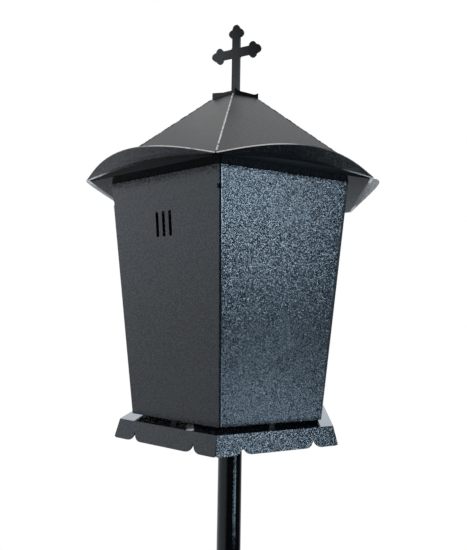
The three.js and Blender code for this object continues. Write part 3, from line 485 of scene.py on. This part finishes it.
def make_welds():
    """Beads along the hips, the rear one rubbed bright, and behind the body's corners."""
    coated = hammered_coat("coated_weld", dull=0.3)
    shaded = hammered_coat("shaded_weld", shine=0, pale_where_shaded=0.2)
    bright = weld_metal("weld_metal")
    for number in range(SIDES):
        turn = SIDE_TURN * number
        radius, finish = (REAR_BEAD_R, bright) if turn == REAR_HIP else (HIP_BEAD_R, coated)
        ends = [hip_place(turn, r) for r in (HIP_FOOT_R, HIP_HEAD_R)]
        weld_bead("hip_weld_%d" % (number + 1), *ends, radius, finish, "roof_coat")
        foot = Vector(round_place(turn, BODY_FOOT_R - INSIDE_CORNER, BODY_FOOT + CORNER_END))
        head = Vector(round_place(turn, BODY_TOP_R - INSIDE_CORNER, BODY_FOOT + BODY_RISE - CORNER_END))
        weld_bead("corner_weld_%d" % (number + 1), foot, head, CORNER_BEAD_R, shaded, "hammered_coat")


# Soffit rims, which close the slit below each petal's soft fold

# Both radii are taken to the middle of a side
RIM_FOOT_R = 0.1345
RIM_FOOT_LENGTH = 2 * RIM_FOOT_R * math.tan(HALF_SIDE)
RIM_FOOT_LIFT = 0.0001
RIM_HEAD_R = 0.1393
RIM_HEAD_LENGTH = 0.072
RIM_RISE = 0.0046
RIM_T = 0.0008


def soffit_rim(name, turn, finish):
    """Narrow trapezoid plate from the soffit plate's edge up behind the fold."""
    foot = Vector(round_place(turn, RIM_FOOT_R, EAVE + RIM_FOOT_LIFT))
    head = Vector(round_place(turn, RIM_HEAD_R, EAVE + RIM_RISE))
    bpy.ops.mesh.primitive_cube_add(size=1)
    rim = bpy.context.object
    rim.name = name
    rim.scale = (RIM_FOOT_LENGTH, (head - foot).length, RIM_T)
    bpy.ops.object.transform_apply(location=True, rotation=True, scale=True)
    select_only(rim.data.vertices, "VERT", lambda corner: corner.co.y > 0)
    bpy.ops.transform.resize(value=(RIM_HEAD_LENGTH / RIM_FOOT_LENGTH, 1, 1))
    bpy.ops.object.mode_set(mode="OBJECT")
    along = Vector(round_place(turn + 90, 1, 0))
    rise = (head - foot).normalized()
    outward = along.cross(rise)
    turned = Matrix((along, rise, outward)).transposed()
    set_in_place(rim, (foot + head) / 2 - outward * (RIM_T / 2), turned)
    rounded = rim.modifiers.new("rounded", "BEVEL")
    rounded.width = 0.0002
    rounded.segments = 2
    finish_piece(rim, rounded, finish)


def make_rims():
    """One rim on each side, all with the same dull coat."""
    finish = hammered_coat("rim_coat", tilt=0.15, dull=0.4, shine=0.15, pale_where_shaded=0)
    for number in range(SIDES):
        soffit_rim("soffit_rim_%d" % (number + 1), SIDE_TURN * (number + 0.5), finish)


# Studio

COOL_GREY = (0.93, 1.0, 1.09)
COOL_LAMP = (0.59, 0.8, 1.0)
WHITE = (1, 1, 1)
LANTERN_MIDDLE = (0, 0, 0.45)

# Turns of the studio's two ends, seen from the lantern
DIM_END = 172
BRIGHT_END = 40
DIMMING = 0.94

# The floor lies just below the base plate, so that the two never share a plane
FLOOR_SIZE = 6
FLOOR_HEIGHT = -0.0002


def area_lamp(name, place, target, size, power, colour=WHITE):
    data = bpy.data.lights.new(name, "AREA")
    data.shape = "RECTANGLE"
    data.size, data.size_y = size
    data.energy = power
    data.color = colour
    lamp = bpy.data.objects.new(name, data)
    bpy.context.scene.collection.objects.link(lamp)
    aim = Vector(target) - Vector(place)
    lamp.matrix_world = Matrix.Translation(place) @ aim.to_track_quat("-Z", "Y").to_matrix().to_4x4()
    lamp.visible_camera = False


def toward(x, y, length, turn):
    """Cosine between a level direction and the one at this turn."""
    angle = math.radians(turn)
    return (x * math.cos(angle) + y * math.sin(angle)) / length


def dim_side(x, y, length):
    """1 where a level direction points to the dim end of the studio."""
    return toward(x, y, length, DIM_END).step(0.05, 0.35)


def studio_floor():
    """Pale floor, white to the camera but for the soft shadow round the lantern's foot."""
    floor = Finish("studio_white")
    seen = floor.node("ShaderNodeLightPath", output="Is Camera Ray")
    glossy = floor.node("ShaderNodeLightPath", output="Is Glossy Ray")
    shader = floor.node("ShaderNodeBsdfDiffuse", inputs={"Color": (0.6, 0.6, 0.6, 1)})
    x, y, _ = floor.parts(floor.place)
    distance = floor.distance(x, y)
    away = distance.step(0.05, 0.3)
    mirrored = 0.5 + 0.35 * toward(x, y, distance, BRIGHT_END).step(0.2, 0.6)
    mirrored = away * mirrored * (1 - DIMMING * dim_side(x, y, distance))
    contact = floor.node("ShaderNodeAmbientOcclusion", {"samples": 8}, {"Distance": 0.25}, "AO")
    white = floor.node("ShaderNodeEmission", inputs={
        "Color": floor.colour(seen, COOL_GREY, WHITE),
        "Strength": seen * (0.4 + 0.6 * contact) + (1 - seen) * mirrored,
    })
    mixed = floor.node("ShaderNodeMixShader", inputs={0: seen.at_least(glossy * away), 1: shader, 2: white})
    floor.node("ShaderNodeOutputMaterial", inputs={"Surface": mixed})
    bpy.ops.mesh.primitive_plane_add(size=FLOOR_SIZE, location=(0, 0, FLOOR_HEIGHT))
    plane = bpy.context.object
    plane.name = "studio_floor"
    plane.data.materials.append(floor.material)
    bpy.ops.object.select_all(action="DESELECT")


def studio_sky():
    """The world's light, white to the camera and through the panes, grey with a bright and a dim end."""
    sky = Finish("studio_world", world=True)
    bpy.context.scene.world = sky.material
    x, y, z = sky.parts(sky.place)
    seen = sky.node("ShaderNodeLightPath", output="Is Camera Ray")
    seen = seen.at_least(sky.node("ShaderNodeLightPath", output="Is Transmission Ray"))
    glossy = sky.node("ShaderNodeLightPath", output="Is Glossy Ray")
    level = sky.distance(x, y).at_least(0.01)
    dim = dim_side(x, y, level) * (1 - z.step(0.35, 0.7))
    high = z.step(0.2, 0.8)
    bright = 0.75 + 0.62 * toward(x, y, level, BRIGHT_END).step(0.6, 0.98)
    light = (bright * (1 - high) + 0.6 * high) * (1 - DIMMING * dim) * (0.4 + 0.6 * glossy)
    strength = seen + (1 - seen) * light
    tint = sky.colour(seen.at_least(high), COOL_GREY, WHITE)
    background = sky.node("ShaderNodeBackground", inputs={"Color": tint, "Strength": strength})
    sky.node("ShaderNodeOutputWorld", inputs={"Surface": background})


def make_studio():
    """Floor, sky and three softboxes: two cool ones mirrored in the left rear face, and one above."""
    studio_floor()
    studio_sky()
    side = round_place(170.8, 1.5, 0.66)
    low = round_place(176.5, 1.0, 0.02)
    top = round_place(-60, 0.6, 1.9)
    above_low = round_place(176.4, 1.0, 1)
    area_lamp("softbox_side", side, LANTERN_MIDDLE, size=(0.3, 0.38), power=8.8, colour=COOL_LAMP)
    area_lamp("softbox_low", low, above_low, size=(0.9, 0.22), power=5.2, colour=COOL_LAMP)
    area_lamp("softbox_top", top, LANTERN_MIDDLE, size=(1.2, 1.2), power=1)


# Camera, whose yaw, pitch and roll are counted from a level look at the pole's axis

CAMERA_TURN = 125.57
CAMERA_DISTANCE = 0.56916
CAMERA_ABOVE_TRAY = 0.09882
CAMERA_YAW = 0.0013
CAMERA_PITCH = 0.0827
CAMERA_ROLL = -0.0156
CAMERA_LENS = 34.28
CAMERA_SENSOR = 36


def make_camera():
    data = bpy.data.cameras.new("photo_camera")
    data.sensor_width = CAMERA_SENSOR
    data.lens = CAMERA_LENS
    data.clip_start = 0.01
    camera = bpy.data.objects.new("photo_camera", data)
    bpy.context.scene.collection.objects.link(camera)
    bpy.context.scene.camera = camera
    heading = math.radians(CAMERA_TURN + 180) - CAMERA_YAW
    level = Vector((math.cos(heading), math.sin(heading), 0))
    ahead = level * math.cos(CAMERA_PITCH) + Vector((0, 0, math.sin(CAMERA_PITCH)))
    right = level.cross(Vector((0, 0, 1)))
    down = ahead.cross(right)
    across = right * math.cos(CAMERA_ROLL) + down * math.sin(CAMERA_ROLL)
    below = down * math.cos(CAMERA_ROLL) - right * math.sin(CAMERA_ROLL)
    turn = Matrix((across, -below, -ahead)).transposed().to_4x4()
    place = round_place(CAMERA_TURN, CAMERA_DISTANCE, TRAY_TOP + CAMERA_ABOVE_TRAY)
    camera.matrix_world = Matrix.Translation(place) @ turn


make_camera()
dress_frame()
make_welds()
make_rims()
make_studio()
bpy.context.scene.view_settings.view_transform = "Standard"
